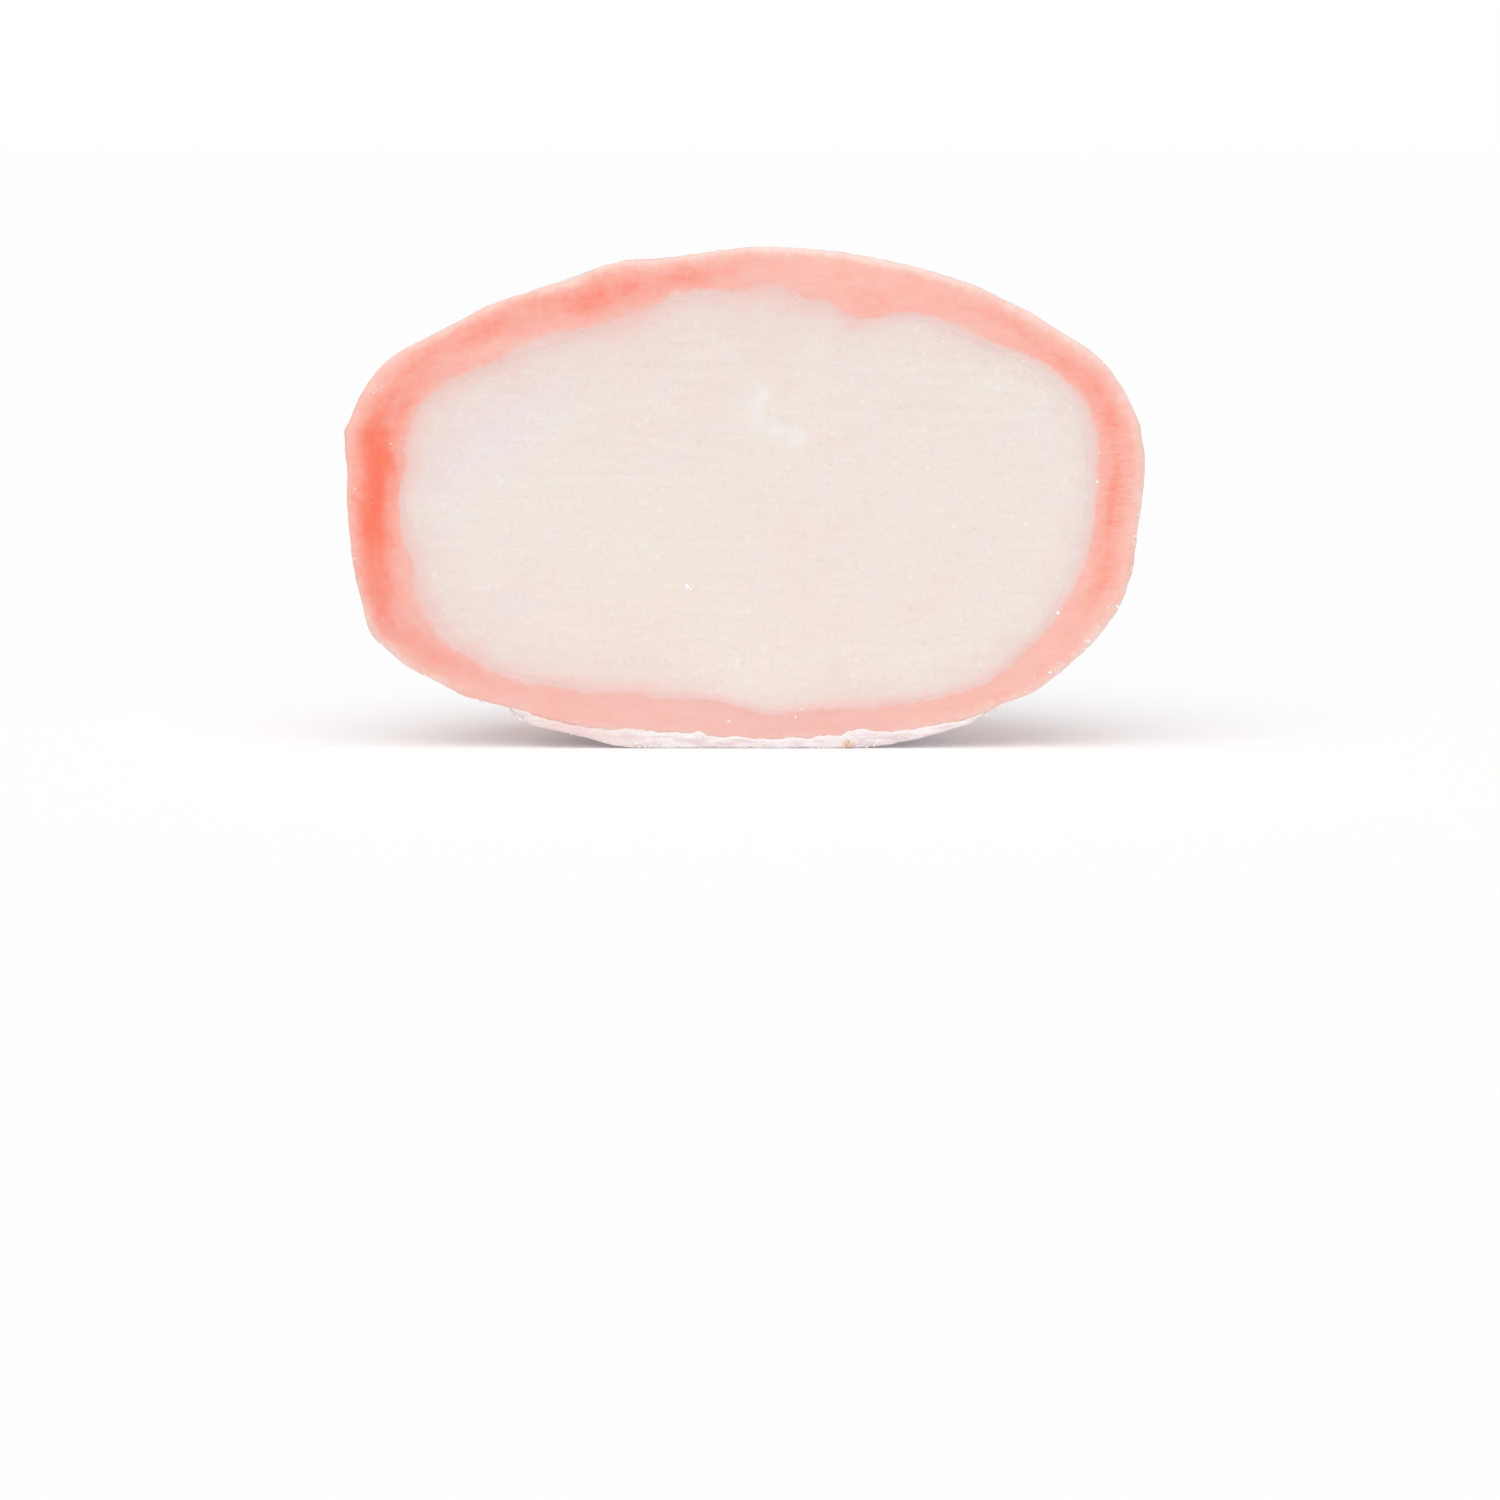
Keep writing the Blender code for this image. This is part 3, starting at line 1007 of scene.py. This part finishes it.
def scatter(name, spots, sizes, normals, squash, finish, seed, divisions=1):
    """One mesh of lumpy crumbs, each turned at random and pressed flat along its normal."""
    rng = np.random.default_rng(seed)
    count = len(spots)
    mesh = heap_of_balls(name, count, divisions)
    corners = places_of(mesh).reshape(count, -1, 3)
    turns = np.linalg.qr(rng.normal(size=(count, 3, 3)))[0]
    turns[:, :, 0] *= np.linalg.det(turns)[:, None]
    dented = corners * rng.uniform(0.7, 1.3, (count, corners.shape[1], 1))
    dented *= rng.uniform(0.7, 1.25, (count, 1, 3))
    balls = np.einsum("nij,nkj->nki", turns, dented) * sizes[:, None, None]
    proud = np.einsum("nki,ni->nk", balls, normals)
    balls -= (1 - squash) * proud[:, :, None] * normals[:, None, :]
    move_to(mesh, balls + spots[:, None, :])
    add_piece(name, mesh, [finish])


def make_dusting():
    """Clumps of starch on the round back, thicker in drifts."""
    rng = np.random.default_rng(4)
    ways = rng.normal(size=(CLUMP_TRIES, 3))
    ways[:, 1] = np.abs(ways[:, 1])
    ways /= np.linalg.norm(ways, axis=1)[:, None]
    spots = ways * dough_outside(ways)[:, None]
    drift = ripple(spots, 4 * MM, 3)
    kept = (drift + rng.uniform(-0.6, 0.6, len(ways)) > 0.25) & (spots[:, 1] > 0.3 * MM)
    kept &= spots[:, 2] > -MIDDLE_HEIGHT + 1.0 * MM
    spots, ways = spots[kept], ways[kept]
    least, usual, greatest = CLUMP_SIZES
    sizes = np.clip(np.exp(rng.normal(math.log(usual), 0.45, len(spots))), least, greatest) * MM
    sizes *= 0.5 + 0.5 * smooth_step(spots[:, 1], 1 * MM, 7 * MM)
    spots += MIDDLE + ways * 0.1 * sizes[:, None]
    scatter("starch_dusting", spots, sizes, ways, 0.6, clump_finish(), 5)


def on_cut_edge(arounds, depths):
    """Places on the cut face at these angles round it and depths in from the dough's outside."""
    ways = heading(arounds, np.zeros(len(arounds)))
    return MIDDLE + ways * (outside(ways) - depths)[:, None]


def make_crumbs():
    """Loose crumbs of starch that the knife left along the edge of the cut and under the half."""
    rng = np.random.default_rng(8)
    arounds, depths, sizes, forward = [], [], [], []
    for middle, spread, count, size, deepest, ahead in EDGE_CRUMBS:
        arounds.append(rng.normal(middle, spread, count))
        depths.append(rng.uniform(0.02, deepest, count) * MM)
        sizes.append(size * rng.uniform(0.5, 1.5, count) * MM)
        forward.append((rng.uniform(-0.05, 0.35 - ahead, count) - ahead) * MM)
    sizes = np.concatenate(sizes)
    spots = on_cut_edge(np.concatenate(arounds), np.concatenate(depths))
    spots[:, 1] += np.concatenate(forward)
    spots[:, 2] = np.maximum(spots[:, 2], sizes)
    normals = np.tile((0.0, -1.0, 0.0), (len(spots), 1))
    scatter("starch_crumbs", spots, sizes, normals, 0.8, clump_finish(), 9, 2)


def make_stray_crumb():
    """One dried crumb stuck to the starch."""
    finish = Finish("Dried crumb", Roughness=0.6, Subsurface_Weight=0.2, Subsurface_Scale=0.2 * MM)
    colour = finish.mix(finish.step(finish.grain(0.15), 0.35, 0.65), ORANGE_CRUMB, PINK_STARCH)
    right, up, sizes = np.array(DRIED_CRUMB).T * MM
    ahead = np.full(len(sizes), MIDDLE[1] - DRIED_CRUMB_AHEAD)
    spots = np.stack((MIDDLE[0] + right, ahead, up), axis=1)
    normals = np.tile((0.0, -1.0, 0.0), (len(sizes), 1))
    scatter("dried_crumb", spots, sizes, normals, 0.7, finish.set(Base_Color=colour), 3, 2)


def make_glints():
    """Ice crystals and starch specks on the cut face."""
    rng = np.random.default_rng(12)
    ways = heading(rng.uniform(0, 360, GLINT_COUNT), np.zeros(GLINT_COUNT))
    share = np.sqrt(rng.uniform(0, 1.0, GLINT_COUNT))
    scattered = ways * (filling_outside(ways) * share)[:, None]
    right, up, half_size = np.array(CUT_SPECKS).T
    listed = np.stack((right, np.zeros(len(right)), up), axis=1) * MM
    sizes = np.concatenate((rng.uniform(*GLINT_SIZES, GLINT_COUNT), half_size)) * MM
    spots = np.concatenate((scattered, listed)) + MIDDLE
    spots[:, 1] += cut_relief(spots - MIDDLE) - 0.01 * MM
    normals = np.tile((0.0, -1.0, 0.0), (len(spots), 1))
    scatter("ice_glints", spots, sizes, normals, 0.35, glint_finish(), 13)


def make_floor():
    """Wide pale floor with a low white wall round it, so that the background stays white."""
    floor = bmesh.new()
    bmesh.ops.create_circle(floor, cap_ends=True, segments=64, radius=FLOOR_RADIUS)
    loop = [edge for edge in floor.edges if edge.is_boundary]
    loop = extrude_loop(floor, loop, 1)
    bmesh.ops.translate(floor, verts=loop_of(loop), vec=(0, 0, WALL_HEIGHT))
    mesh = bpy.data.meshes.new("floor")
    floor.to_mesh(mesh)
    floor.free()
    white = (1.0, 1.0, 1.0, 1.0)
    pale = {"Roughness": 0.9, "Specular_IOR_Level": 0.0, "Emission_Color": white}
    ground = Finish("Pale floor", Emission_Strength=FLOOR_GLOW, **pale)
    mesh.materials.append(ground.set(Base_Color=(0.93, 0.93, 0.93, 1.0)))
    wall = Finish("White wall", Emission_Strength=1.0, **pale)
    mesh.materials.append(wall.set(Base_Color=(0.0, 0.0, 0.0, 1.0)))
    plane = bpy.data.objects.new("floor", mesh)
    bpy.context.scene.collection.objects.link(plane)


def make_light():
    """An even bright surround and one broad soft light from above the camera."""
    world = bpy.data.worlds.new("Studio")
    world.use_nodes = True
    surround = world.node_tree.nodes["Background"]
    surround.inputs["Color"].default_value = (1, 1, 1, 1)
    surround.inputs["Strength"].default_value = SURROUND_STRENGTH
    bpy.context.scene.world = world
    sun = bpy.data.lights.new("soft_light", "SUN")
    sun.energy = SUN_STRENGTH
    sun.angle = SUN_SPREAD
    light = bpy.data.objects.new("soft_light", sun)
    light.location = SUN_PLACE
    light.rotation_euler = Vector(SUN_PLACE).to_track_quat("Z", "Y").to_euler()
    bpy.context.scene.collection.objects.link(light)


def make_camera():
    """Camera that sees the half where the photograph has it, and from the same angle."""
    lens_pixels = LENS / SENSOR * PHOTO_SIZE
    distance = lens_pixels / PIXELS_PER_MM * MM
    up = math.atan((PHOTO_SIZE / 2 - MIDDLE_IN_PHOTO[1]) / lens_pixels)
    left = math.atan((PHOTO_SIZE / 2 - MIDDLE_IN_PHOTO[0]) / lens_pixels)
    elevation = math.radians(SIGHT_ELEVATION)
    target = Vector(MIDDLE)
    view = bpy.data.cameras.new("Camera")
    view.lens = LENS
    view.sensor_width = SENSOR
    view.clip_start = 0.01
    view.clip_end = 50.0
    camera = bpy.data.objects.new("Camera", view)
    camera.location = target + distance * Vector((0, -math.cos(elevation), math.sin(elevation)))
    camera.rotation_euler = (math.pi / 2 - elevation - up, 0, -left)
    bpy.context.scene.collection.objects.link(camera)
    bpy.context.scene.camera = camera


make_camera()
make_light()
make_floor()
make_dough()
make_filling()
make_starch()
make_dusting()
make_crumbs()
make_stray_crumb()
make_glints()
bpy.context.scene.view_settings.view_transform = "Standard"
